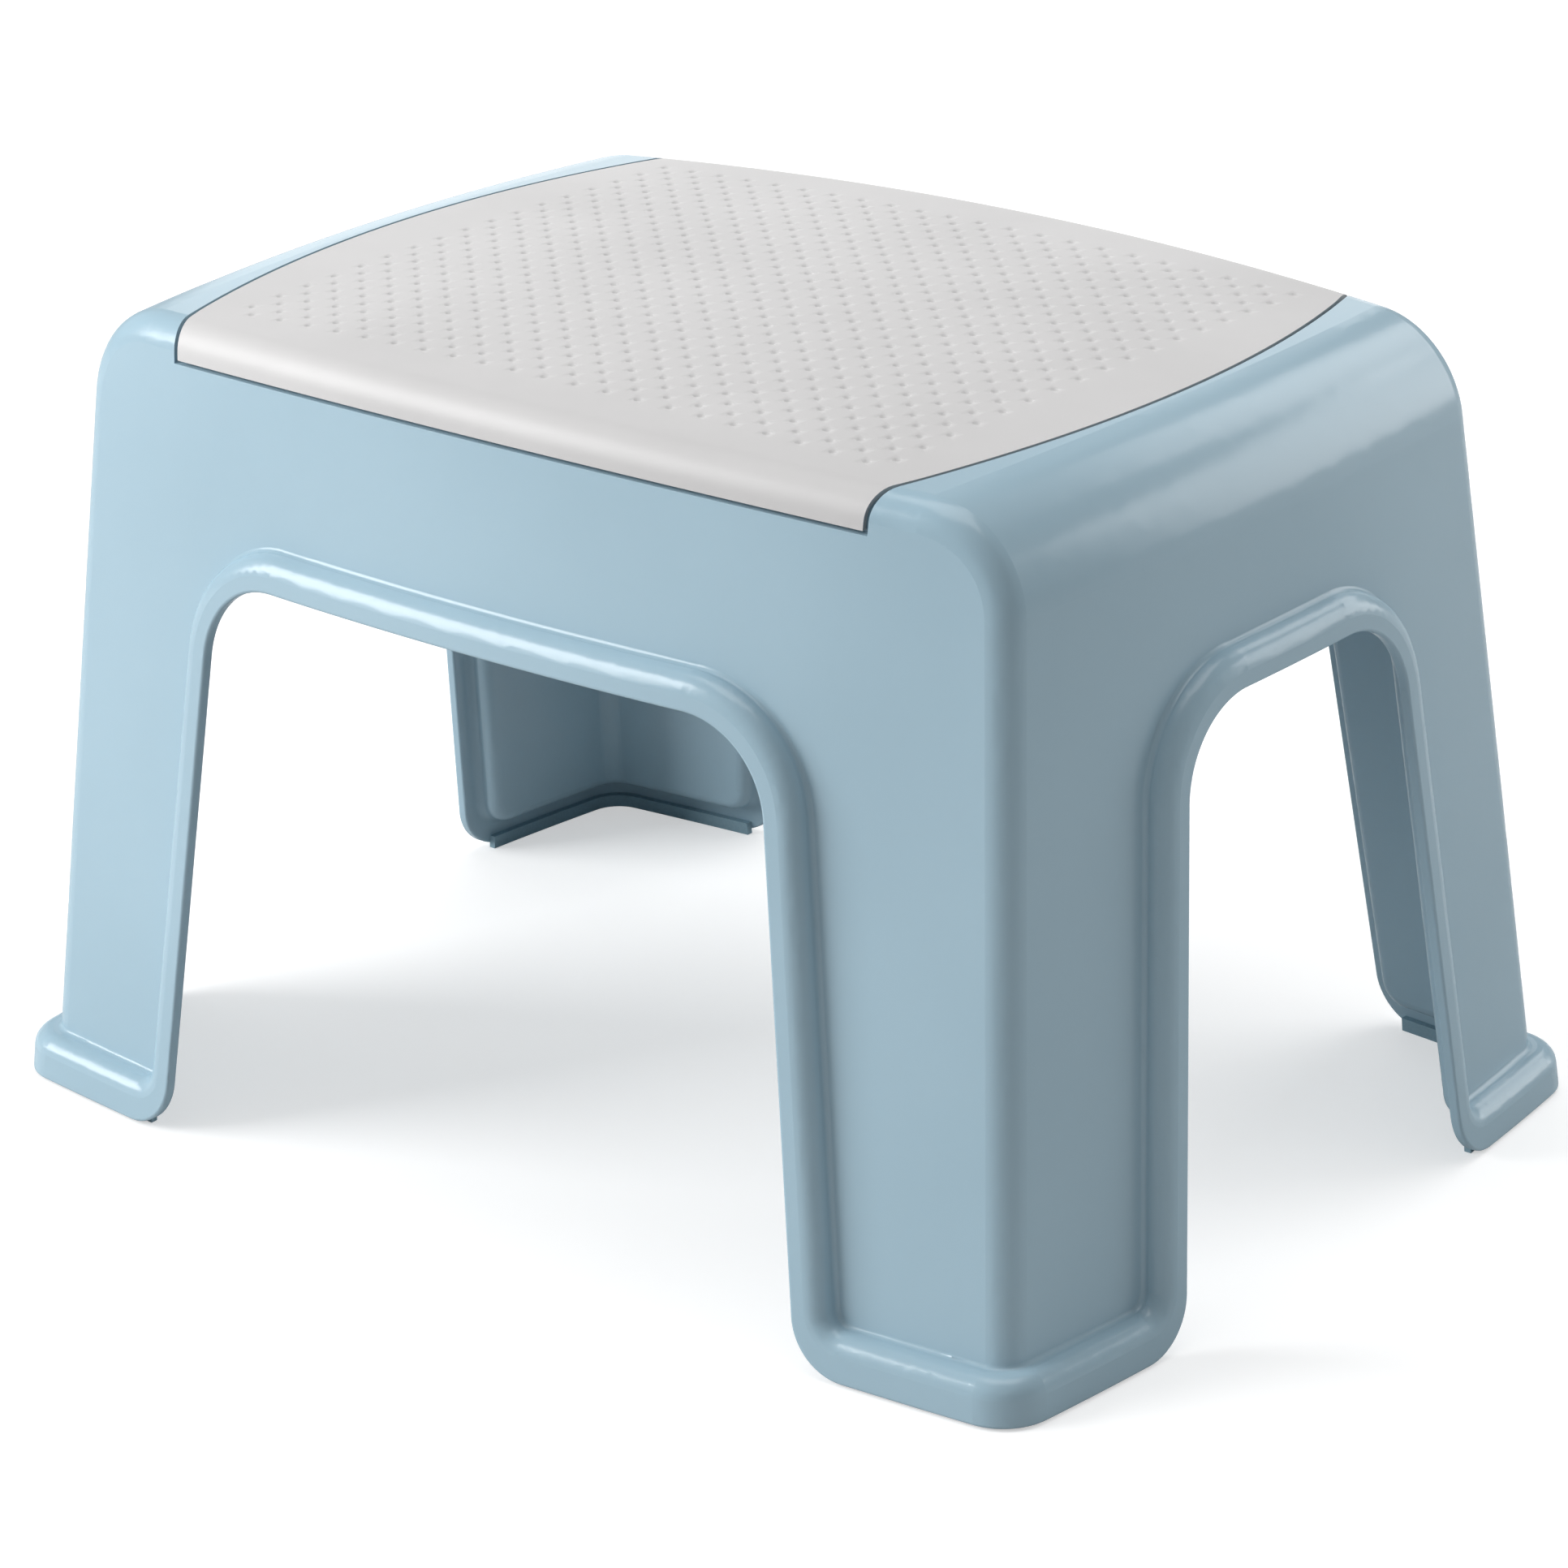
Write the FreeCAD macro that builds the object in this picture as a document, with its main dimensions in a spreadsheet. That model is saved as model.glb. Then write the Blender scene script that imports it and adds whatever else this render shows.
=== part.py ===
import FreeCAD, Part
import os
import Sketcher

# One-step moulded stool in millimetres: +Z up, +X along its length, floor at Z = 0.
# "front" is the long face towards -Y and "side" the short faces towards -X and +X.
SIZES = {
    # outer walls, to their sharp corners at floor level, before they bow outwards
    "shell_length": 343.6,
    "shell_width": 242.4,
    "stool_height": 230.0,
    "length_draft": 0.071,
    "width_draft": 0.109,
    "front_bow_low": 10.2,
    "front_bow_high": 13.6,
    "side_bow_low": 8.8,
    "side_bow_high": 5.8,
    "crown_radius": 2600.0,
    "wall": 3.2,
    "side_roll": 28.5,
    "edge_round": 8.5,
    # the stepped-out rim that runs round the arches and the feet
    "rim_offset": 6.4,
    "rim_band": 9.4,
    "foot_band": 12.6,
    "shoulder_round": 5.4,
    "crease_round": 1.2,
    "hollow_round": 3.6,
    "lip_round": 0.8,
    # arches: width at the floor, and how much each side leans in as it rises
    "front_arch_width": 226.6,
    "front_arch_lean": 0.115,
    "front_arch_height": 164.0,
    "side_arch_width": 127.4,
    "side_arch_lean": 0.112,
    "side_arch_height": 163.0,
    "arch_corner": 26.0,
    "foot_corner": 16.0,
    "foot_crease": 5.0,
    # the tread insert, which folds over the front and back edges
    "insert_length": 269.4,
    "insert_side_radius": 326.0,
    "insert_thickness": 2.5,
    "insert_gap": 0.7,
    "fold_depth": 9.8,
    # snap hooks under the insert and their slots in the deck
    "hook_width": 12.0,
    "hook_thickness": 2.0,
    "hook_barb": 1.2,
    "hook_clearance": 0.5,
    "hook_reach": 3.0,
    "hook_place_length": 95.0,
    "hook_place_width": 70.0,
    # ribs moulded under the deck
    "rib_depth": 12.0,
    "rib_thickness": 2.0,
    "rib_place_length": 60.0,
    "rib_place_width": 45.0,
    # pads pressed into the hollow behind each foot
    "pad_stand": 0.5,
    "pad_thickness": 2.0,
    "pad_height": 4.0,
    "pad_setback": 8.7,
}

REACH = 60.0    # how far a cutting tool runs past the stool
SINK = 30.0     # how far a hollowing form runs below the floor
RISE = 2.0      # how far a form's walls run up past its crown before that is cut
PAST = 10.0     # how far the insert's outline runs out past the front and back
TOUCH = 1e-3    # distance under which a point counts as on a surface

doc = FreeCAD.newDocument("StepStool")
sheet = doc.addObject("Spreadsheet::Sheet", "Sizes")


def fill_sheet():
    for row, (alias, value) in enumerate(SIZES.items(), start=1):
        sheet.set(f"A{row}", alias)
        sheet.set(f"B{row}", str(value))
        sheet.setAlias(f"B{row}", alias)
    doc.recompute()


def size(expression):
    """The number that an expression over the sheet comes to."""
    return float(sheet.evalExpression(expression))


# ---- sketches -------------------------------------------------------------

def add_sketch(body, name, role, height="0"):
    sketch = body.newObject("Sketcher::SketchObject", name)
    plane = next(item for item in body.Origin.OriginFeatures if item.Role == role)
    sketch.AttachmentSupport = (plane, [""])
    sketch.MapMode = "FlatFace"
    sketch.setExpression("AttachmentOffset.Base.z", height)
    return sketch


def limit(sketch, constraint, expression):
    number = sketch.addConstraint(constraint)
    sketch.setExpression(f"Constraints[{number}]", expression)


def pin(sketch, edge, end, across, up):
    """Holds one end of an edge at its two distances from the sketch's origin."""
    limit(sketch, Sketcher.Constraint("DistanceX", -1, 1, edge, end, size(across)), across)
    limit(sketch, Sketcher.Constraint("DistanceY", -1, 1, edge, end, size(up)), up)


def join_ends(sketch, count):
    for edge in range(count):
        following = (edge + 1) % count
        sketch.addConstraint(Sketcher.Constraint("Coincident", edge, 2, following, 1))


def polygon(sketch, corners):
    """A closed outline of straight lines through pairs of expressions."""
    points = [FreeCAD.Vector(size(across), size(up), 0) for across, up in corners]
    for start, end in zip(points, points[1:] + points[:1]):
        sketch.addGeometry(Part.LineSegment(start, end))
    join_ends(sketch, len(corners))
    for edge, (across, up) in enumerate(corners):
        pin(sketch, edge, 1, across, up)


def bowed_outline(sketch, half_length, half_width, side_bow, front_bow):
    """A rectangle whose four sides are arcs that swell outwards."""
    x, y = size(half_length), size(half_width)
    side, front = size(side_bow), size(front_bow)
    corners = [(-x, -y), (x, -y), (x, y), (-x, y)]
    middles = [(0, -y - front), (x + side, 0), (0, y + front), (-x - side, 0)]
    for number in range(4):
        start, end = corners[number], corners[(number + 1) % 4]
        points = [FreeCAD.Vector(*point, 0) for point in (start, middles[number], end)]
        sketch.addGeometry(Part.Arc(*points))
    join_ends(sketch, 4)
    signs = [("-", "-"), ("", "-"), ("", ""), ("-", "")]
    for edge, (along, across) in enumerate(signs):
        pin(sketch, edge, 1, f"{along}({half_length})", f"{across}({half_width})")
    for edge in range(4):
        half, bow = ((half_length, front_bow), (half_width, side_bow))[edge % 2]
        radius = f"(({half}) ^ 2 + ({bow}) ^ 2) / (2 * ({bow}))"
        limit(sketch, Sketcher.Constraint("Radius", edge, size(radius)), radius)


# ---- features -------------------------------------------------------------

def middle(edge):
    return edge.valueAt((edge.FirstParameter + edge.LastParameter) / 2)


def round_edges(body, name, wanted, radius):
    """Rounds the edges of a body's last feature that a test picks out."""
    base = body.Tip
    names = [f"Edge{n}" for n, edge in enumerate(base.Shape.Edges, 1) if wanted(edge)]
    if not names:
        raise RuntimeError(f"{body.Label}: no edge to round for {name}")
    fillet = body.newObject("PartDesign::Fillet", body.Name + name)
    fillet.Base = (base, names)
    fillet.setExpression("Radius", radius)
    doc.recompute()


def body_on(name, base):
    """A body that carries on from another object's shape."""
    body = doc.addObject("PartDesign::Body", name)
    body.BaseFeature = base
    doc.recompute()
    return body


def combine(kind, name, *shapes):
    """A boolean of other objects: Cut and Common take two, MultiFuse any number."""
    result = doc.addObject("Part::" + kind, name)
    if kind == "MultiFuse":
        result.Shapes = list(shapes)
    else:
        result.Base, result.Tool = shapes
    doc.recompute()
    return result


# ---- the stool's outer form, and the same form moved in or out -------------

def taper(start, draft, height, offset):
    return f"Sizes.{start} / 2 - Sizes.{draft} * ({height}) + ({offset})"


def swell(name, height):
    rise = f"(Sizes.{name}_high - Sizes.{name}_low) / Sizes.stool_height"
    return f"Sizes.{name}_low + {rise} * ({height})"


def walls(name, offset, bottom, top):
    """A solid between two bowed outlines, its walls moved out by an offset."""
    body = doc.addObject("PartDesign::Body", name)
    outlines = []
    for level, height in (("Low", bottom), ("High", top)):
        sketch = add_sketch(body, name + level, "XY_Plane", height)
        half_length = taper("shell_length", "length_draft", height, offset)
        half_width = taper("shell_width", "width_draft", height, offset)
        bows = swell("side_bow", height), swell("front_bow", height)
        bowed_outline(sketch, half_length, half_width, *bows)
        outlines.append(sketch)
    doc.recompute()
    loft = body.newObject("PartDesign::AdditiveLoft", name + "Walls")
    loft.Profile = (outlines[0], [""])
    loft.Sections = [(outlines[1], [""])]
    loft.Ruled = True
    doc.recompute()
    return body


def cut_crown(body, offset):
    """Turns the top into part of a large ball, so that the deck stands highest in its middle."""
    sketch = add_sketch(body, body.Name + "Crown", "XZ_Plane")
    radius = f"Sizes.crown_radius + ({offset})"
    centre_height = "Sizes.stool_height - Sizes.crown_radius"
    far = f"Sizes.shell_length / 2 + {REACH}"
    roof = f"Sizes.stool_height + {REACH}"
    ball, centre = size(radius), FreeCAD.Vector(0, size(centre_height), 0)
    edge_height = centre.y + (ball ** 2 - size(far) ** 2) ** 0.5
    edge = FreeCAD.Vector(size(far), edge_height, 0)
    halfway = edge.sub(centre) + FreeCAD.Vector(0, ball, 0)
    crest = centre + FreeCAD.Vector(0, ball, 0)
    points = [crest, FreeCAD.Vector(0, size(roof), 0), FreeCAD.Vector(size(far), size(roof), 0)]
    sketch.addGeometry(Part.Arc(edge, centre + halfway.normalize() * ball, crest))
    sketch.addGeometry(Part.LineSegment(points[0], points[1]))
    sketch.addGeometry(Part.LineSegment(points[1], points[2]))
    sketch.addGeometry(Part.LineSegment(points[2], edge))
    join_ends(sketch, 4)
    sketch.addConstraint(Sketcher.Constraint("PointOnObject", 0, 3, -2))
    sketch.addConstraint(Sketcher.Constraint("PointOnObject", 0, 2, -2))
    sketch.addConstraint(Sketcher.Constraint("PointOnObject", 1, 2, -2))
    sketch.addConstraint(Sketcher.Constraint("Horizontal", 2))
    sketch.addConstraint(Sketcher.Constraint("Vertical", 3))
    limit(sketch, Sketcher.Constraint("Radius", 0, ball), radius)
    limit(sketch, Sketcher.Constraint("DistanceY", -1, 1, 0, 3, centre.y), centre_height)
    limit(sketch, Sketcher.Constraint("DistanceX", -1, 1, 0, 1, size(far)), far)
    limit(sketch, Sketcher.Constraint("DistanceY", -1, 1, 1, 2, size(roof)), roof)
    doc.recompute()
    groove = body.newObject("PartDesign::Groove", body.Name + "CrownCut")
    groove.Profile = sketch
    groove.ReferenceAxis = (sketch, ["V_Axis"])
    groove.Angle = 360
    doc.recompute()


def form(name, offset, bottom):
    """The whole rounded form of the stool, its skin moved out by an offset."""
    body = walls(name, offset, bottom, f"Sizes.stool_height + ({offset}) + {RISE}")
    cut_crown(body, offset)
    ends = size(taper("shell_length", "length_draft", "Sizes.stool_height", offset))
    high = size("Sizes.stool_height - Sizes.side_roll / 2")
    low = size(bottom)

    def on_side_top(edge):
        point = middle(edge)
        return point.z > high and abs(point.x) > ends - TOUCH

    def on_end_outline(edge):
        centre = Part.Vertex(middle(edge))
        near = min(face.distToShape(centre)[0] for face in front_faces)
        return near < TOUCH and edge.BoundBox.ZMax > low + TOUCH

    round_edges(body, "SideRoll", on_side_top, f"Sizes.side_roll + ({offset})")
    ranked = sorted(body.Shape.Faces, key=lambda face: abs(face.CenterOfMass.y))
    front_faces = ranked[-2:]
    round_edges(body, "EndRound", on_end_outline, f"Sizes.edge_round + ({offset})")
    return body


# ---- arches ---------------------------------------------------------------

def arch_tool(name, face, grow, foot_level, foot_radius):
    """The space under one pair of arches and below the feet, grown by an amount."""
    body = doc.addObject("PartDesign::Body", name)
    plane = {"front": "XZ_Plane", "side": "YZ_Plane"}[face]
    sketch = add_sketch(body, name + "Outline", plane)
    far = f"Sizes.shell_length / 2 + {REACH}"
    top = f"Sizes.{face}_arch_height + ({grow})"

    def half_width(height):
        return f"Sizes.{face}_arch_width / 2 - Sizes.{face}_arch_lean * ({height}) + ({grow})"

    foot, crest = half_width(foot_level), half_width(top)
    polygon(sketch, [
        (f"-({far})", f"-{REACH}"), (far, f"-{REACH}"),
        (far, foot_level), (foot, foot_level),
        (crest, top), (f"-({crest})", top),
        (f"-({foot})", foot_level), (f"-({far})", foot_level),
    ])
    doc.recompute()
    pad = body.newObject("PartDesign::Pad", name + "Run")
    pad.Profile = sketch
    pad.Midplane = True
    pad.setExpression("Length", f"2 * ({far})")
    doc.recompute()
    run = size(far) * 2 - TOUCH
    high, low, wide = size(top), size(foot_level), size(foot)

    def runs_through(edge):
        return max(edge.BoundBox.XLength, edge.BoundBox.YLength) > run and edge.BoundBox.ZLength < TOUCH

    def at_crest(edge):
        return runs_through(edge) and abs(middle(edge).z - high) < TOUCH

    def at_foot(edge):
        point = middle(edge)
        across = point.x if face == "front" else point.y
        return runs_through(edge) and abs(point.z - low) < TOUCH and abs(abs(across) - wide) < TOUCH

    round_edges(body, "Crest", at_crest, f"Sizes.arch_corner + ({grow})")
    round_edges(body, "Foot", at_foot, foot_radius)
    return body


def arch_pair(name, grow, foot_level, foot_radius):
    front = arch_tool(name + "Front", "front", grow, foot_level, foot_radius)
    side = arch_tool(name + "Side", "side", grow, foot_level, foot_radius)
    return combine("MultiFuse", name, front, side)


# ---- the shell ------------------------------------------------------------

def on_skin(point, skin):
    return skin.distToShape(Part.Vertex(point))[0] < TOUCH


def skin_of(item):
    return item.Shape.Shells[0]


def stepped(name, inner_form, rim, bands, shoulder, crease):
    """A form with its rim standing out where the bands are, shoulders and creases rounded."""
    proud = combine("Common", name + "Rim", rim, bands)
    body = body_on(name, combine("MultiFuse", name + "Sharp", inner_form, proud))
    outer, inner, edge_tool = skin_of(rim), skin_of(inner_form), skin_of(bands)

    def in_crease(edge):
        return on_skin(middle(edge), edge_tool) and on_skin(middle(edge), inner)

    def on_shoulder(edge):
        return on_skin(middle(edge), edge_tool) and on_skin(middle(edge), outer)

    round_edges(body, "Shoulder", on_shoulder, shoulder)
    round_edges(body, "Crease", in_crease, crease)
    return body


def insert_plan(name, grow):
    """A tall block over the insert's outline: bowed sides, and open past the front and back."""
    body = doc.addObject("PartDesign::Body", name)
    sketch = add_sketch(body, name + "Outline", "XY_Plane", "Sizes.stool_height / 2")
    radius = f"Sizes.insert_side_radius + ({grow})"
    centre = "Sizes.insert_side_radius - Sizes.insert_length / 2"
    end = f"Sizes.shell_width / 2 + Sizes.front_bow_high + {PAST}"
    bend, inset, y = size(radius), size(centre), size(end)
    x = (bend ** 2 - y ** 2) ** 0.5 - inset
    corners = [FreeCAD.Vector(*point, 0) for point in ((-x, -y), (x, -y), (x, y), (-x, y))]
    widest = FreeCAD.Vector(bend - inset, 0, 0)
    sketch.addGeometry(Part.LineSegment(corners[0], corners[1]))
    sketch.addGeometry(Part.Arc(corners[1], widest, corners[2]))
    sketch.addGeometry(Part.LineSegment(corners[2], corners[3]))
    sketch.addGeometry(Part.Arc(corners[3], widest * -1, corners[0]))
    join_ends(sketch, 4)
    for edge, sign in ((1, "-"), (3, "")):
        shift = f"{sign}({centre})"
        limit(sketch, Sketcher.Constraint("Radius", edge, bend), radius)
        limit(sketch, Sketcher.Constraint("DistanceX", -1, 1, edge, 3, size(shift)), shift)
        sketch.addConstraint(Sketcher.Constraint("PointOnObject", edge, 3, -1))
    for edge, sign in ((0, "-"), (2, "")):
        level = f"{sign}({end})"
        sketch.addConstraint(Sketcher.Constraint("Horizontal", edge))
        limit(sketch, Sketcher.Constraint("DistanceY", -1, 1, edge, 1, size(level)), level)
    doc.recompute()
    pad = body.newObject("PartDesign::Pad", name + "Rise")
    pad.Profile = sketch
    pad.setExpression("Length", "Sizes.stool_height")
    doc.recompute()
    return body


def fold_ball(name, grow):
    """Everything below the line where the insert's folds end, which follows the crown."""
    ball = doc.addObject("Part::Sphere", name)
    ball.setExpression("Radius", f"Sizes.crown_radius - Sizes.fold_depth - ({grow})")
    ball.setExpression("Placement.Base.z", "Sizes.stool_height - Sizes.crown_radius")
    doc.recompute()
    return ball


def insert_space(name, grow, seat):
    """The space that the insert fills, grown by an amount, down to the form it sits on."""
    above = combine("Cut", name + "Above", insert_plan(name + "Plan", grow), seat)
    return combine("Cut", name, above, fold_ball(name + "Ball", grow))


def box(name, corner, lengths):
    block = doc.addObject("Part::Box", name)
    for axis, start, side, length in zip("xyz", corner, ("Length", "Width", "Height"), lengths):
        block.setExpression(side, length)
        block.setExpression(f"Placement.Base.{axis}", start)
    doc.recompute()
    return block


def deck_under(x, y):
    """Height of the deck's underside below the seat, at a place on the crown."""
    fall = f"Sizes.crown_radius - sqrt(Sizes.crown_radius ^ 2 - ({x}) ^ 2 - ({y}) ^ 2)"
    return f"Sizes.stool_height - Sizes.insert_thickness - Sizes.wall - ({fall})"


def hook_places():
    for along in ("-", ""):
        for across in ("-", ""):
            yield f"{along}Sizes.hook_place_length", f"{across}Sizes.hook_place_width", across


def hooks():
    """Four tabs that reach through the deck, each with a barb on its outer side."""
    made = []
    for number, (x, y, side) in enumerate(hook_places()):
        under = deck_under(x, y)
        left = f"{x} - Sizes.hook_width / 2"
        near = f"{y} - Sizes.hook_thickness / 2"
        bottom = f"{under} - Sizes.hook_clearance - Sizes.hook_reach"
        rise = "Sizes.hook_reach + Sizes.hook_clearance + Sizes.wall + Sizes.insert_thickness / 2"
        lengths = ("Sizes.hook_width", "Sizes.hook_thickness", rise)
        made.append(box(f"HookStem{number}", (left, near, bottom), lengths))
        outer_side = f"{y} - Sizes.hook_thickness / 2 - Sizes.hook_barb"
        barb_start = outer_side if side == "-" else f"{y} + Sizes.hook_thickness / 2"
        lengths = ("Sizes.hook_width", "Sizes.hook_barb", "Sizes.hook_reach")
        made.append(box(f"HookBarb{number}", (left, barb_start, bottom), lengths))
    return made


def hook_slots():
    made = []
    for number, (x, y, side) in enumerate(hook_places()):
        left = f"{x} - Sizes.hook_width / 2 - Sizes.hook_clearance"
        reach = "Sizes.hook_thickness / 2 + Sizes.hook_clearance"
        near = f"{y} - ({reach})" + (" - Sizes.hook_barb" if side == "-" else "")
        length = "Sizes.hook_width + 2 * Sizes.hook_clearance"
        width = "Sizes.hook_thickness + Sizes.hook_barb + 2 * Sizes.hook_clearance"
        bottom = f"{deck_under(x, y)} - Sizes.wall"
        height = "3 * Sizes.wall + Sizes.insert_thickness"
        made.append(box(f"HookSlot{number}", (left, near, bottom), (length, width, height)))
    return combine("MultiFuse", "HookSlots", *made)


def ribs(seat):
    """A grid of thin walls under the deck, trimmed to the form the insert sits on."""
    made = []
    half = "Sizes.rib_thickness / 2"
    length, width = "Sizes.shell_length", "Sizes.shell_width"
    bottom = "Sizes.stool_height - Sizes.insert_thickness - Sizes.wall - Sizes.rib_depth"
    rise = "Sizes.rib_depth + Sizes.wall + Sizes.insert_thickness"
    for number, share in enumerate(("-1", "0", "1")):
        corner = (f"{share} * Sizes.rib_place_length - {half}", f"-{width} / 2", bottom)
        made.append(box(f"RibAcross{number}", corner, ("Sizes.rib_thickness", width, rise)))
    for number, share in enumerate(("-1", "1")):
        corner = (f"-{length} / 2", f"{share} * Sizes.rib_place_width - {half}", bottom)
        made.append(box(f"RibAlong{number}", corner, (length, "Sizes.rib_thickness", rise)))
    return combine("Common", "Ribs", combine("MultiFuse", "RibGrid", *made), seat)


def rounded_lip(cut, rim, arches):
    """The arched shell with the outer edge of its rim softened."""
    body = body_on("Arched", cut)
    outer, edge_tool = skin_of(rim), skin_of(arches)

    def on_lip(edge):
        return on_skin(middle(edge), edge_tool) and on_skin(middle(edge), outer)

    round_edges(body, "Lip", on_lip, "Sizes.lip_round")
    return body


def shell(outer, seat):
    """The one-piece moulding: an even wall with a rim stepped out round its arches and feet."""
    base = "Sizes.pad_stand"
    under = f"-{SINK}"
    rim = form("RimForm", "Sizes.rim_offset", base)
    bands = arch_pair("Bands", "Sizes.rim_band", "Sizes.foot_band", "Sizes.foot_crease")
    envelope = stepped("Envelope", outer, rim, bands, "Sizes.shoulder_round", "Sizes.crease_round")
    wall_inside = form("WallInside", "-Sizes.wall", under)
    deck_inside = form("DeckInside", "-Sizes.wall - Sizes.insert_thickness", under)
    rim_inside = form("RimInside", "Sizes.rim_offset - Sizes.wall", under)
    hollow_bands = arch_pair("HollowBands", "Sizes.rim_band - Sizes.wall",
                             "Sizes.foot_band - Sizes.wall", "Sizes.foot_crease + Sizes.wall")
    dropped = insert_space("DropSpace", "Sizes.insert_gap + Sizes.wall", deck_inside)
    main_hollow = combine("Cut", "MainHollow", wall_inside, dropped)
    hollow = stepped("Hollow", main_hollow, rim_inside, hollow_bands,
                     "Sizes.shoulder_round - Sizes.wall", "Sizes.hollow_round")
    walled = combine("Cut", "Walled", envelope, hollow)
    arches = arch_pair("Arches", "0", base, "Sizes.foot_corner")
    arched = rounded_lip(combine("Cut", "ArchedSharp", walled, arches), rim, arches)
    seated = combine("Cut", "Seated", arched, insert_space("Recess", "Sizes.insert_gap", seat))
    ribbed = combine("MultiFuse", "Ribbed", seated, ribs(seat))
    return combine("Cut", "Slotted", ribbed, hook_slots())


def tread_insert(outer, seat):
    """The tread plate: an even skin over the deck that folds down over two edges."""
    whole = combine("Common", "InsertSkin", outer, insert_plan("InsertPlan", "0"))
    lifted = combine("Cut", "InsertLifted", whole, seat)
    plate = combine("Cut", "InsertPlate", lifted, fold_ball("InsertBall", "0"))
    return combine("MultiFuse", "InsertHooked", plate, *hooks())


def foot_pads():
    """One L-shaped pad behind each foot, held against the rim's inner face."""
    face = "Sizes.rim_offset - Sizes.wall"
    outside = form("PadOutside", face, f"-{SINK}")
    inside = form("PadInside", f"{face} - Sizes.pad_thickness", f"-{SINK}")
    ring = combine("Cut", "PadRing", outside, inside)
    x = "Sizes.front_arch_width / 2 + Sizes.pad_setback"
    y = "Sizes.side_arch_width / 2 + Sizes.pad_setback"
    reach = "Sizes.shell_length"
    pads = {}
    for across, back in (("-", "front"), ("", "back")):
        for along, side in (("-", "left"), ("", "right")):
            corner = (f"-({x}) - {reach}" if along else x, f"-({y}) - {reach}" if across else y, "0")
            zone = box(f"PadZone{back}{side}", corner, (reach, reach, "Sizes.pad_height"))
            pads[f"foot_pad_{back}_{side}"] = combine("Common", f"Pad{back}{side}", ring, zone)
    return pads


# ---- the whole stool ------------------------------------------------------

def failed(item):
    return "Invalid" in item.State or "Error" in item.State


def build():
    fill_sheet()
    outer = form("OuterForm", "0", "Sizes.pad_stand")
    seat = form("SeatForm", "-Sizes.insert_thickness", f"-{SINK}")
    nodes = {
        "stool_shell": shell(outer, seat),
        "tread_insert": tread_insert(outer, seat),
    }
    nodes.update(foot_pads())
    for name, node in nodes.items():
        node.Label = name
        node.Placement = FreeCAD.Placement()
    doc.recompute()
    broken = [item.Label for item in doc.Objects if failed(item)]
    for name, node in nodes.items():
        if node.Shape.isNull() or not node.Shape.isValid() or len(node.Shape.Solids) != 1:
            broken.append(name)
    if broken:
        raise RuntimeError("not built: " + ", ".join(broken))
    os.makedirs("parts", exist_ok=True)
    for name, node in nodes.items():
        node.Shape.exportStep(f"parts/{name}.step")
        print(f"{name}: {node.Shape.Volume / 1000:.1f} cubic cm")


build()
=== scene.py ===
import bpy
import bmesh
from math import asin, atan, copysign, cos, pi, radians, sin, sqrt
from mathutils import Matrix, Vector


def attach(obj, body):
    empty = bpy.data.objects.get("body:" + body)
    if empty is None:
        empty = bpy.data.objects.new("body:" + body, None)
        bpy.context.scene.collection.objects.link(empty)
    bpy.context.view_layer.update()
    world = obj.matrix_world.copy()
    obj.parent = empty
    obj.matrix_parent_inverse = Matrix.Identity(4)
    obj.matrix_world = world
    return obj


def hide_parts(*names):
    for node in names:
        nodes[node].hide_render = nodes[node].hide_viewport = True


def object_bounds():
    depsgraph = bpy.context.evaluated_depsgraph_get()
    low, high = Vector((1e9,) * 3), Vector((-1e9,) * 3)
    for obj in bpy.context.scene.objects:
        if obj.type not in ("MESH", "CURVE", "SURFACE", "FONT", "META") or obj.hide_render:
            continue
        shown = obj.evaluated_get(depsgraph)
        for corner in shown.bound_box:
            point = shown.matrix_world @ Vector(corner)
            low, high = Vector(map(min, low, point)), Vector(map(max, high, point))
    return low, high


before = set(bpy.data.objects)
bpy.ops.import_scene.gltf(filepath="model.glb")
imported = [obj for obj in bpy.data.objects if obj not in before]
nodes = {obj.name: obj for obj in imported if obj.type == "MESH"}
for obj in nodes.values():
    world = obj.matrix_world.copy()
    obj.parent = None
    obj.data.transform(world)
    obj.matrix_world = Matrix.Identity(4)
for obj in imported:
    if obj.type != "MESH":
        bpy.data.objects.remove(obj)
cadBox = [list(corner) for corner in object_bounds()]
scene = bpy.context.scene
mm = 0.001


def link(name, mesh):
    piece = bpy.data.objects.new(name, mesh)
    scene.collection.objects.link(piece)
    return piece


def toLinear(hexColour):
    # sRGB hex to the linear colour that the shader works in
    out = []
    for at in (0, 2, 4):
        value = int(hexColour[at:at + 2], 16) / 255
        out.append(value / 12.92 if value <= 0.04045 else ((value + 0.055) / 1.055) ** 2.4)
    return (*out, 1.0)


def addNode(tree, kind, links=None, **settings):
    # one node: plain settings by attribute, socket values by name, links as {socket: output}
    node = tree.nodes.new(kind)
    for key, value in settings.items():
        if key == "sockets":
            for name, amount in value.items():
                node.inputs[name].default_value = amount
        elif key == "stops":
            ramp = node.color_ramp
            for number, (place, colour) in enumerate(value):
                stop = ramp.elements[number] if number < 2 else ramp.elements.new(place)
                stop.position = place
                stop.color = colour
        else:
            setattr(node, key, value)
    for name, output in (links or {}).items():
        tree.links.new(output, node.inputs[name])
    return node


def startMaterial(name):
    material = bpy.data.materials.new(name)
    material.use_nodes = True
    tree = material.node_tree
    tree.nodes.clear()
    place = addNode(tree, "ShaderNodeTexCoord").outputs["Object"]
    return material, tree, place


def endMaterial(tree, shader):
    addNode(tree, "ShaderNodeOutputMaterial", {"Surface": shader.outputs["BSDF"]})


def grey(value):
    return (value, value, value, 1.0)


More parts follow.
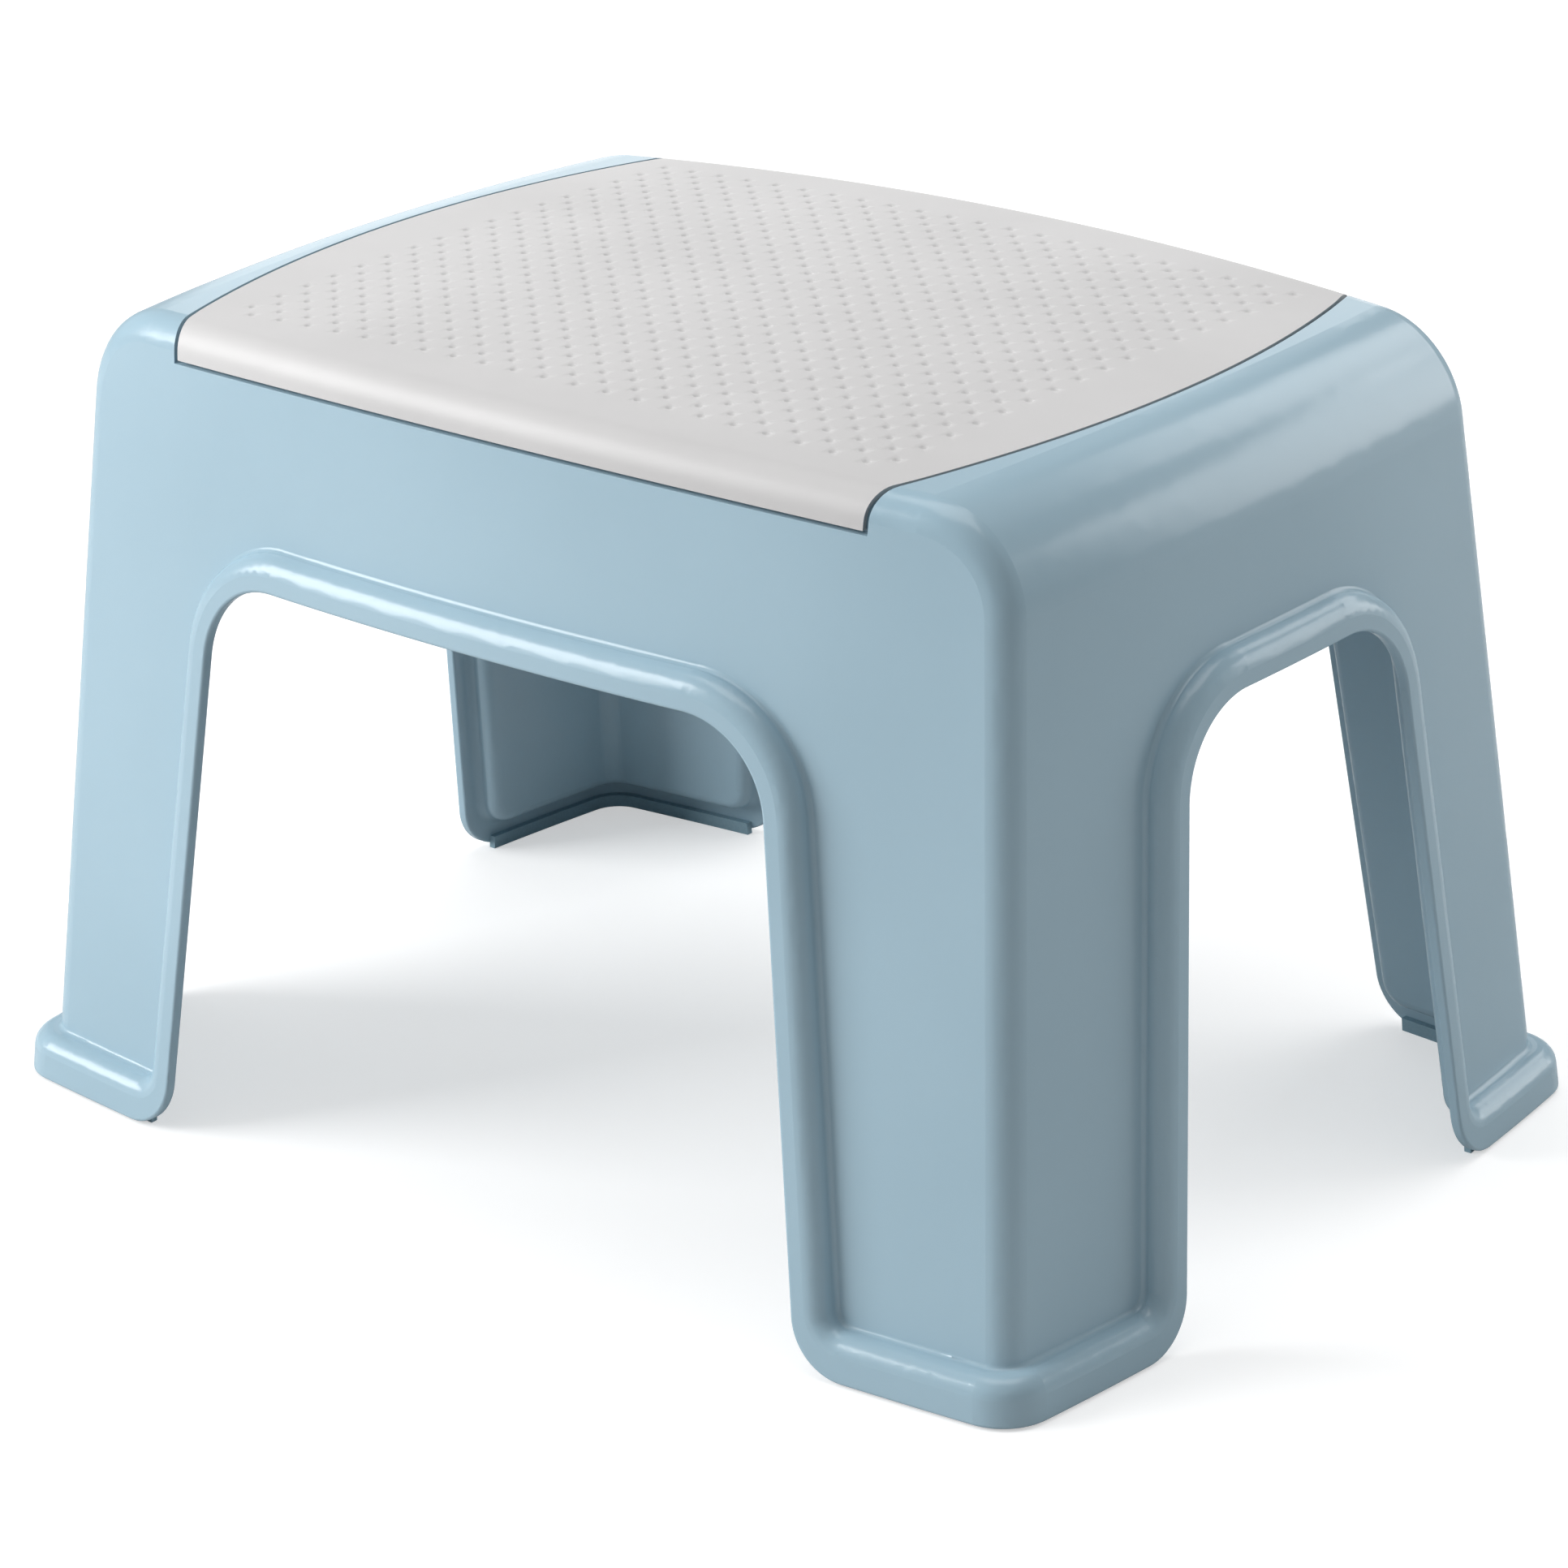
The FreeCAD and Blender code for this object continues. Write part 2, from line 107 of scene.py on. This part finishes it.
shellFinish = dict(
    colour="A1BCCA", colourDeep="9BB6C4",
    roughLow=0.20, roughHigh=0.26,
    grain=0.35,        # mm between the pits of the eroded mould, coarser than real so they show
    grainDepth=0.006,  # mm
    flow=90.0,         # mm across the faint clouds where the melt flowed
    ior=1.49,
    soak=0.06, soakDepth=1.5,    # share of the light that soaks in, and how deep in mm
    soakTint=(0.6, 0.9, 1.2),    # blue goes deepest
)


def mouldedPolypropylene():
    # polypropylene moulded against a finely eroded steel tool: an even body colour, a soft broad
    # gloss broken by a very fine grain, and faint clouds of tone from the flow of the melt
    f = shellFinish
    material, tree, place = startMaterial("mouldedPolypropylene")
    clouds = addNode(tree, "ShaderNodeTexNoise", {"Vector": place},
                     sockets={"Scale": 1 / (f["flow"] * mm), "Detail": 2.0, "Roughness": 0.4})
    tone = addNode(tree, "ShaderNodeValToRGB", {"Fac": clouds.outputs["Fac"]},
                   stops=[(0.3, toLinear(f["colourDeep"])), (0.7, toLinear(f["colour"]))])
    pits = addNode(tree, "ShaderNodeTexNoise", {"Vector": place},
                   sockets={"Scale": 1 / (f["grain"] * mm), "Detail": 2.0, "Roughness": 0.6})
    gloss = addNode(tree, "ShaderNodeMapRange", {"Value": clouds.outputs["Fac"]},
                    sockets={"To Min": f["roughLow"], "To Max": f["roughHigh"]})
    bump = addNode(tree, "ShaderNodeBump", {"Height": pits.outputs["Fac"]},
                   sockets={"Strength": 0.5, "Distance": f["grainDepth"] * mm})
    shader = addNode(tree, "ShaderNodeBsdfPrincipled",
                     {"Base Color": tone.outputs["Color"], "Roughness": gloss.outputs["Result"],
                      "Normal": bump.outputs["Normal"]},
                     sockets={"IOR": f["ior"], "Subsurface Weight": f["soak"],
                              "Subsurface Radius": f["soakTint"],
                              "Subsurface Scale": f["soakDepth"] * mm})
    endMaterial(tree, shader)
    return material


insertFinish = dict(
    colour="C8C7C7", colourWorn="C2C1C1",
    roughLow=0.42, roughHigh=0.52,
    grain=0.6,         # mm between the bumps of the skin, coarser than real so they show
    grainDepth=0.012,  # mm
    flow=60.0,         # mm across the faint clouds of tone
    ior=1.48,
    soak=0.08, soakDepth=1.5,    # share of the light that soaks in, and how deep in mm
    soakTint=(1.0, 1.0, 1.0),
)


def softTouchElastomer():
    # pale thermoplastic elastomer moulded on a sand-blasted tool: duller than the shell, with a
    # low wide sheen along the folds and a fine dry grain between the dimples
    f = insertFinish
    material, tree, place = startMaterial("softTouchElastomer")
    clouds = addNode(tree, "ShaderNodeTexNoise", {"Vector": place},
                     sockets={"Scale": 1 / (f["flow"] * mm), "Detail": 3.0, "Roughness": 0.5})
    tone = addNode(tree, "ShaderNodeValToRGB", {"Fac": clouds.outputs["Fac"]},
                   stops=[(0.3, toLinear(f["colourWorn"])), (0.65, toLinear(f["colour"]))])
    bumps = addNode(tree, "ShaderNodeTexNoise", {"Vector": place},
                    sockets={"Scale": 1 / (f["grain"] * mm), "Detail": 3.0, "Roughness": 0.6})
    gloss = addNode(tree, "ShaderNodeMapRange", {"Value": bumps.outputs["Fac"]},
                    sockets={"To Min": f["roughLow"], "To Max": f["roughHigh"]})
    bump = addNode(tree, "ShaderNodeBump", {"Height": bumps.outputs["Fac"]},
                   sockets={"Strength": 0.6, "Distance": f["grainDepth"] * mm})
    shader = addNode(tree, "ShaderNodeBsdfPrincipled",
                     {"Base Color": tone.outputs["Color"], "Roughness": gloss.outputs["Result"],
                      "Normal": bump.outputs["Normal"]},
                     sockets={"IOR": f["ior"], "Subsurface Weight": f["soak"],
                              "Subsurface Radius": f["soakTint"],
                              "Subsurface Scale": f["soakDepth"] * mm})
    endMaterial(tree, shader)
    return material


padFinish = dict(
    # the rubber's own tone, partly painted shade: set darker than the shell to match the shade at
    # the foot of each leg
    colour="86A4B2", colourWorn="8FACB9",
    rough=0.6, ior=1.5,
    grain=0.8, grainDepth=0.03,  # mm, the mottle of the rubber
)


def mouldedFootRubber():
    # soft rubber moulded in a plain tool: matt and faintly mottled; its colour is set darker than
    # the shell as painted shade, to match the shade at the foot of each leg
    f = padFinish
    material, tree, place = startMaterial("mouldedFootRubber")
    grain = addNode(tree, "ShaderNodeTexNoise", {"Vector": place},
                    sockets={"Scale": 1 / (f["grain"] * mm), "Detail": 3.0})
    tone = addNode(tree, "ShaderNodeValToRGB", {"Fac": grain.outputs["Fac"]},
                   stops=[(0.35, toLinear(f["colour"])), (0.7, toLinear(f["colourWorn"]))])
    bump = addNode(tree, "ShaderNodeBump", {"Height": grain.outputs["Fac"]},
                   sockets={"Strength": 0.5, "Distance": f["grainDepth"] * mm})
    shader = addNode(tree, "ShaderNodeBsdfPrincipled",
                     {"Base Color": tone.outputs["Color"], "Normal": bump.outputs["Normal"]},
                     sockets={"IOR": f["ior"], "Roughness": f["rough"]})
    endMaterial(tree, shader)
    return material


shellMaterial = mouldedPolypropylene()
insertMaterial = softTouchElastomer()
padMaterial = mouldedFootRubber()
print("materials made")


stoolTop = cadBox[1][2] / mm
stoolMiddle = Vector((0, 0, stoolTop * mm / 2))
insert = dict(
    crown=2600.0,                            # mm, radius of the ball that the deck is part of
    length=269.4, sideRadius=326.0,          # widest across the middle, and the bow of its sides
    thickness=2.5, fold=9.8, roll=8.5,       # roll is the radius over the front edge
    halfWidth=121.2, widthDraft=0.109,       # the front wall that the fold lies on
    halfLength=171.8, lengthDraft=0.071,
    bowLow=10.2, bowHigh=13.6,
    pitch=5.25, across=21, along=34,         # dimple grid: half pitch, columns each side, rows
    dimple=1.25, depth=0.5,                  # mm, radius and depth of a dimple
    corners=12,                              # sides of a dimple's rim
    bowl=((1.08, 0.0), (0.92, 0.22), (0.6, 0.72), (0.25, 0.96)),  # shares of radius and depth
    margins=(0.1, 0.25, 0.4, 0.55, 0.7, 0.85),     # rows from the roll in to the grid, as shares
    footRows=(1.0, 0.6),                           # rows of the flat below the roll, as shares
    rollSteps=10, sideSteps=5,
    settle=12,                               # tries that bring the roll onto deck and wall
    edgeRound=0.5, roundSteps=3, roundFrom=55, smoothTo=50,  # mm, then angles in degrees
    sideTrim=0.45, undercut=1.3,             # mm left clear at each side, at the top and below it
)


def crownHeight(x, y, sink=0.0):
    c = insert["crown"]
    return stoolTop - c + sqrt((c - sink) ** 2 - x * x - y * y)


def frontWall(x, z):
    # distance of the bowed, leaning front wall from the middle of the stool
    i = insert
    halfLength = i["halfLength"] - i["lengthDraft"] * z
    bow = i["bowLow"] + (i["bowHigh"] - i["bowLow"]) * z / stoolTop
    radius = (halfLength ** 2 + bow ** 2) / (2 * bow)
    return i["halfWidth"] - i["widthDraft"] * z + bow - radius + sqrt(radius ** 2 - x * x)


def sideEdge(y):
    i = insert
    return sqrt(i["sideRadius"] ** 2 - y * y) - i["sideRadius"] + i["length"] / 2 - i["sideTrim"]


def foldSection(x):
    # centre of the roll over the front edge, and its first and last angle from upright
    r = insert["roll"]
    lean = atan(insert["widthDraft"])
    y, z = frontWall(x, stoolTop) - r, stoolTop - r
    for _ in range(insert["settle"]):
        slope = asin(y / insert["crown"])
        y = frontWall(x, z + r * sin(lean)) - r * cos(lean)
        z = crownHeight(x, y + r * sin(slope)) - r * cos(slope)
    return y, z, slope, pi / 2 - lean


def insertRows():
    # one entry for each line across the insert, from the front fold's lower edge to the back's
    i = insert
    half = i["along"] * i["pitch"] / 2
    middleRows = [("deck", -half + n * i["pitch"]) for n in range(i["along"] + 1)]
    margin = [("margin", share) for share in i["margins"]]
    rolls = [("roll", n / i["rollSteps"]) for n in range(i["rollSteps"] + 1)]
    foot = [("foot", share) for share in i["footRows"]]
    frontRows = [(kind, at, -1) for kind, at in foot + rolls[::-1] + margin]
    backRows = [(kind, at, 1) for kind, at, _ in reversed(frontRows)]
    return frontRows + [(kind, at, 0) for kind, at in middleRows] + backRows


def insertPoint(x, row):
    # a point of the insert's skin and the way out of it, where column x meets a row
    i = insert
    kind, at, side = row
    half = i["along"] * i["pitch"] / 2
    if kind == "deck":
        spot = Vector((x, at, crownHeight(x, at)))
        return spot, Vector((x, at, i["crown"])).normalized()
    y, z, first, last = foldSection(x)
    if kind == "margin":
        start = y + i["roll"] * sin(first)
        across = half + (start - half) * (1 - at)
        spot = Vector((x, across, crownHeight(x, across)))
        out = Vector((x, across, i["crown"])).normalized()
    elif kind == "roll":
        angle = first + (last - first) * at
        out = Vector((0, sin(angle), cos(angle)))
        spot = Vector((x, y, z)) + out * i["roll"]
    else:
        top = z + i["roll"] * cos(last)
        low = crownHeight(x, y, i["fold"])
        level = top + (low - top) * at
        out = Vector((0, sin(last), cos(last)))
        spot = Vector((x, frontWall(x, level), level))
    return Vector((spot.x, spot.y * side, spot.z)), Vector((out.x, out.y * side, out.z))


def insertColumns(row):
    # places across the insert on one row: the dimple grid's lines, then a few steps to each side
    i = insert
    half = (i["across"] + 0.5) * i["pitch"]
    lines = [-half + n * i["pitch"] for n in range(2 * i["across"] + 2)]
    spot, _ = insertPoint(half, row)
    edge = sideEdge(spot.y)
    steps = i["sideSteps"]
    outer = [half + (edge - half) * n / steps for n in range(1, steps + 1)]
    return [-x for x in reversed(outer)] + lines + outer


def insertMesh():
    i = insert
    mesh = bmesh.new()
    rows = insertRows()
    top, under = [], []
    for row in rows:
        topLine, underLine = [], []
        columns = insertColumns(row)
        for x in columns:
            spot, out = insertPoint(x, row)
            topLine.append(mesh.verts.new(spot * mm))
            below = spot - out * i["thickness"]
            if x in (columns[0], columns[-1]):
                below.x -= copysign(i["undercut"], x)
            underLine.append(mesh.verts.new(below * mm))
        top.append(topLine)
        under.append(underLine)
    wide = len(top[0])
    firstRow = next(n for n, row in enumerate(rows) if row[0] == "deck")
    firstColumn = i["sideSteps"]
    for r in range(len(rows) - 1):
        for c in range(wide - 1):
            ring = [top[r][c], top[r][c + 1], top[r + 1][c + 1], top[r + 1][c]]
            inField = 0 <= r - firstRow < i["along"] and 0 <= c - firstColumn <= 2 * i["across"]
            if inField and (r - firstRow + c - firstColumn) % 2:
                addDimple(mesh, ring)
            else:
                mesh.faces.new(ring)
            mesh.faces.new([under[r][c], under[r + 1][c], under[r + 1][c + 1], under[r][c + 1]])
    for c in range(wide - 1):
        mesh.faces.new([top[0][c], under[0][c], under[0][c + 1], top[0][c + 1]])
        mesh.faces.new([top[-1][c], top[-1][c + 1], under[-1][c + 1], under[-1][c]])
    for r in range(len(rows) - 1):
        mesh.faces.new([top[r][0], top[r + 1][0], under[r + 1][0], under[r][0]])
        mesh.faces.new([top[r][-1], under[r][-1], under[r + 1][-1], top[r + 1][-1]])
    return mesh


def addDimple(mesh, ring):
    # a shallow round dimple in the middle of one square of the grid, a quarter of its rim joined
    # to each side of the square
    i = insert
    centre = sum((corner.co for corner in ring), Vector()) / 4
    x, y = centre.x / mm, centre.y / mm
    turns = [2 * pi * (n + 0.5) / i["corners"] - 3 * pi / 4 for n in range(i["corners"])]
    circles = []
    for share, sink in i["bowl"]:
        reach = i["dimple"] * share
        spots = [(x + reach * cos(turn), y + reach * sin(turn)) for turn in turns]
        circles.append([mesh.verts.new(Vector((u, v, crownHeight(u, v) - sink * i["depth"])) * mm)
                        for u, v in spots])
    quarter = i["corners"] // 4
    for side in range(4):
        run = [circles[0][(side * quarter + n) % i["corners"]] for n in range(quarter)]
        following = circles[0][(side + 1) * quarter % i["corners"]]
        mesh.faces.new([ring[side], ring[(side + 1) % 4], *reversed(run)])
        mesh.faces.new([run[-1], ring[(side + 1) % 4], following])
    for outer, inner in zip(circles, circles[1:]):
        for n in range(i["corners"]):
            m = (n + 1) % i["corners"]
            mesh.faces.new([outer[n], outer[m], inner[m], inner[n]])
    bottom = mesh.verts.new(Vector((x, y, crownHeight(x, y) - i["depth"])) * mm)
    for n in range(i["corners"]):
        mesh.faces.new([circles[-1][n], circles[-1][(n + 1) % i["corners"]], bottom])


hook = dict(
    along=95.0, across=70.0,      # mm, place of each hook from the middle
    width=12.0, thickness=2.0, barb=1.2, reach=3.0, leadIn=1.6,
    wall=3.2, clearance=0.5,      # the deck that it passes through, and its play under that
)


def addHook(mesh, side, end):
    # a snap hook under the plate: a flat stem with a barb on its outer side and a sloping nose
    h = hook
    x, y = end * h["along"], side * h["across"]
    under = crownHeight(x, y) - insert["thickness"] - h["wall"]
    half = h["thickness"] / 2
    shoulder, bottom = under - h["clearance"], under - h["clearance"] - h["reach"]
    top = under + h["wall"] + insert["thickness"] / 2
    tip = half + h["barb"]
    outline = [(-half, top), (-half, bottom), (half, bottom), (tip, bottom + h["leadIn"]),
               (tip, shoulder), (half, shoulder), (half, top)]
    ends = []
    for along in (x - h["width"] / 2, x + h["width"] / 2):
        ends.append([mesh.verts.new(Vector((along, y + side * out, level)) * mm)
                     for out, level in outline])
    for face in (ends[0], ends[1][::-1]):
        mesh.faces.new(face)
    for n in range(len(outline)):
        m = (n + 1) % len(outline)
        mesh.faces.new([ends[0][n], ends[1][n], ends[1][m], ends[0][m]])


def makeInsert():
    mesh = insertMesh()
    for side in (-1, 1):
        for end in (-1, 1):
            addHook(mesh, side, end)
    bmesh.ops.recalc_face_normals(mesh, faces=mesh.faces)
    data = bpy.data.meshes.new("treadInsert")
    mesh.to_mesh(data)
    mesh.free()
    for face in data.polygons:
        face.use_smooth = True
    data.set_sharp_from_angle(angle=radians(insert["smoothTo"]))
    piece = link("treadInsert", data)
    rounding = piece.modifiers.new("edgeRound", "BEVEL")
    rounding.width = insert["edgeRound"] * mm
    rounding.segments = insert["roundSteps"]
    rounding.limit_method = "ANGLE"
    rounding.angle_limit = radians(insert["roundFrom"])
    rounding.harden_normals = True
    piece.data.materials.append(insertMaterial)
    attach(piece, "root")
    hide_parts("tread_insert")


makeInsert()
print("tread insert made")


def finishNode(name, material):
    node = nodes[name]
    node.data.materials.clear()
    node.data.materials.append(material)


finishNode("stool_shell", shellMaterial)
for name in nodes:
    if name.startswith("foot_pad"):
        finishNode(name, padMaterial)
print("shell and pads finished")


floorLook = dict(
    colour="CFCFCF", glow=0.50, rough=0.8,
    side=14.0, parts=8,        # metres, and squares along a side
    drop=0.05,                 # mm below the pads, so that the two faces don't meet
    bumps=2.5, bumpDepth=0.02, bumpStrength=0.2,  # mm between and up the roller's bumps
)


def makeFloor():
    # a pale floor painted with a roller: matt, with a faint bumpy texture
    f = floorLook
    mesh = bmesh.new()
    bmesh.ops.create_grid(mesh, x_segments=f["parts"], y_segments=f["parts"], size=f["side"] / 2)
    data = bpy.data.meshes.new("studioFloor")
    mesh.to_mesh(data)
    mesh.free()
    floor = link("studioFloor", data)
    floor.location.z = -f["drop"] * mm
    material, tree, place = startMaterial("paintedStudioFloor")
    roller = addNode(tree, "ShaderNodeTexNoise", {"Vector": place},
                     sockets={"Scale": 1 / (f["bumps"] * mm), "Detail": 2.0})
    bump = addNode(tree, "ShaderNodeBump", {"Height": roller.outputs["Fac"]},
                   sockets={"Strength": f["bumpStrength"], "Distance": f["bumpDepth"] * mm})
    shader = addNode(tree, "ShaderNodeBsdfPrincipled", {"Normal": bump.outputs["Normal"]},
                     sockets={"Base Color": toLinear(f["colour"]), "Roughness": f["rough"],
                              "Emission Color": grey(1.0), "Emission Strength": f["glow"]})
    endMaterial(tree, shader)
    data.materials.append(material)
    litByGlow = bpy.data.collections.new("litByGlow")    # the glow lights nothing but the floor
    litByGlow.objects.link(floor)
    floor.light_linking.receiver_collection = litByGlow


lamps = {
    # name: place in metres, size in metres, watts
    "keySoftbox": ((-1.66, -1.54, 1.17), 1.5, 63.0),
    "topSoftbox": ((-0.1, 0.1, 2.2), 1.6, 19.0),
    "backSoftbox": ((0.15, 1.40, 1.10), 0.7, 4.0),
    "sideSoftbox": ((1.25, 2.0, 0.8), 1.4, 19.0),
    "rimSoftbox": ((-1.3, 1.6, 0.5), 1.1, 4.5),
}
skyLight = dict(zenith=0.26, horizon=0.26)


def makeLights():
    for name, (place, width, power) in lamps.items():
        lamp = bpy.data.lights.new(name, "AREA")
        lamp.size = width
        lamp.energy = power
        holder = link(name, lamp)
        holder.location = place
        holder.rotation_euler = (stoolMiddle - Vector(place)).to_track_quat("-Z", "Y").to_euler()
    world = bpy.data.worlds.new("studioWorld")
    scene.world = world
    world.use_nodes = True
    tree = world.node_tree
    tree.nodes.clear()
    heading = addNode(tree, "ShaderNodeTexCoord").outputs["Generated"]
    height = addNode(tree, "ShaderNodeSeparateXYZ", {"Vector": heading}).outputs["Z"]
    shade = addNode(tree, "ShaderNodeValToRGB", {"Fac": height},
                    stops=[(0.0, grey(skyLight["horizon"])), (1.0, grey(skyLight["zenith"]))])
    sky = addNode(tree, "ShaderNodeBackground", {"Color": shade.outputs["Color"]})
    addNode(tree, "ShaderNodeOutputWorld", {"Surface": sky.outputs["Background"]})
    scene.view_settings.view_transform = "Standard"


view = dict(azimuth=40.424, elevation=22.089, roll=-1.619, distance=1.4433,
            across=0.00226, up=-0.02465, lens=121.19, sensor=36.0, near=0.05)


def makeCamera():
    v = view
    turn, lift, roll = radians(v["azimuth"]), radians(v["elevation"]), radians(v["roll"])
    back = Vector((sin(turn) * cos(lift), -cos(turn) * cos(lift), sin(lift)))
    level = (-back).cross(Vector((0, 0, 1))).normalized()
    upright = level.cross(-back)
    right = level * cos(roll) + upright * sin(roll)
    top = upright * cos(roll) - level * sin(roll)
    camera = bpy.data.cameras.new("studioCamera")
    camera.sensor_width = v["sensor"]
    camera.lens = v["lens"]
    camera.clip_start = v["near"]
    holder = link("studioCamera", camera)
    turned = Matrix((right, top, back)).transposed().to_4x4()
    place = stoolMiddle + back * v["distance"]
    turned.translation = place + right * v["across"] + top * v["up"]
    holder.matrix_world = turned
    scene.camera = holder


makeFloor()
makeLights()
makeCamera()
print("floor, lights and camera made")
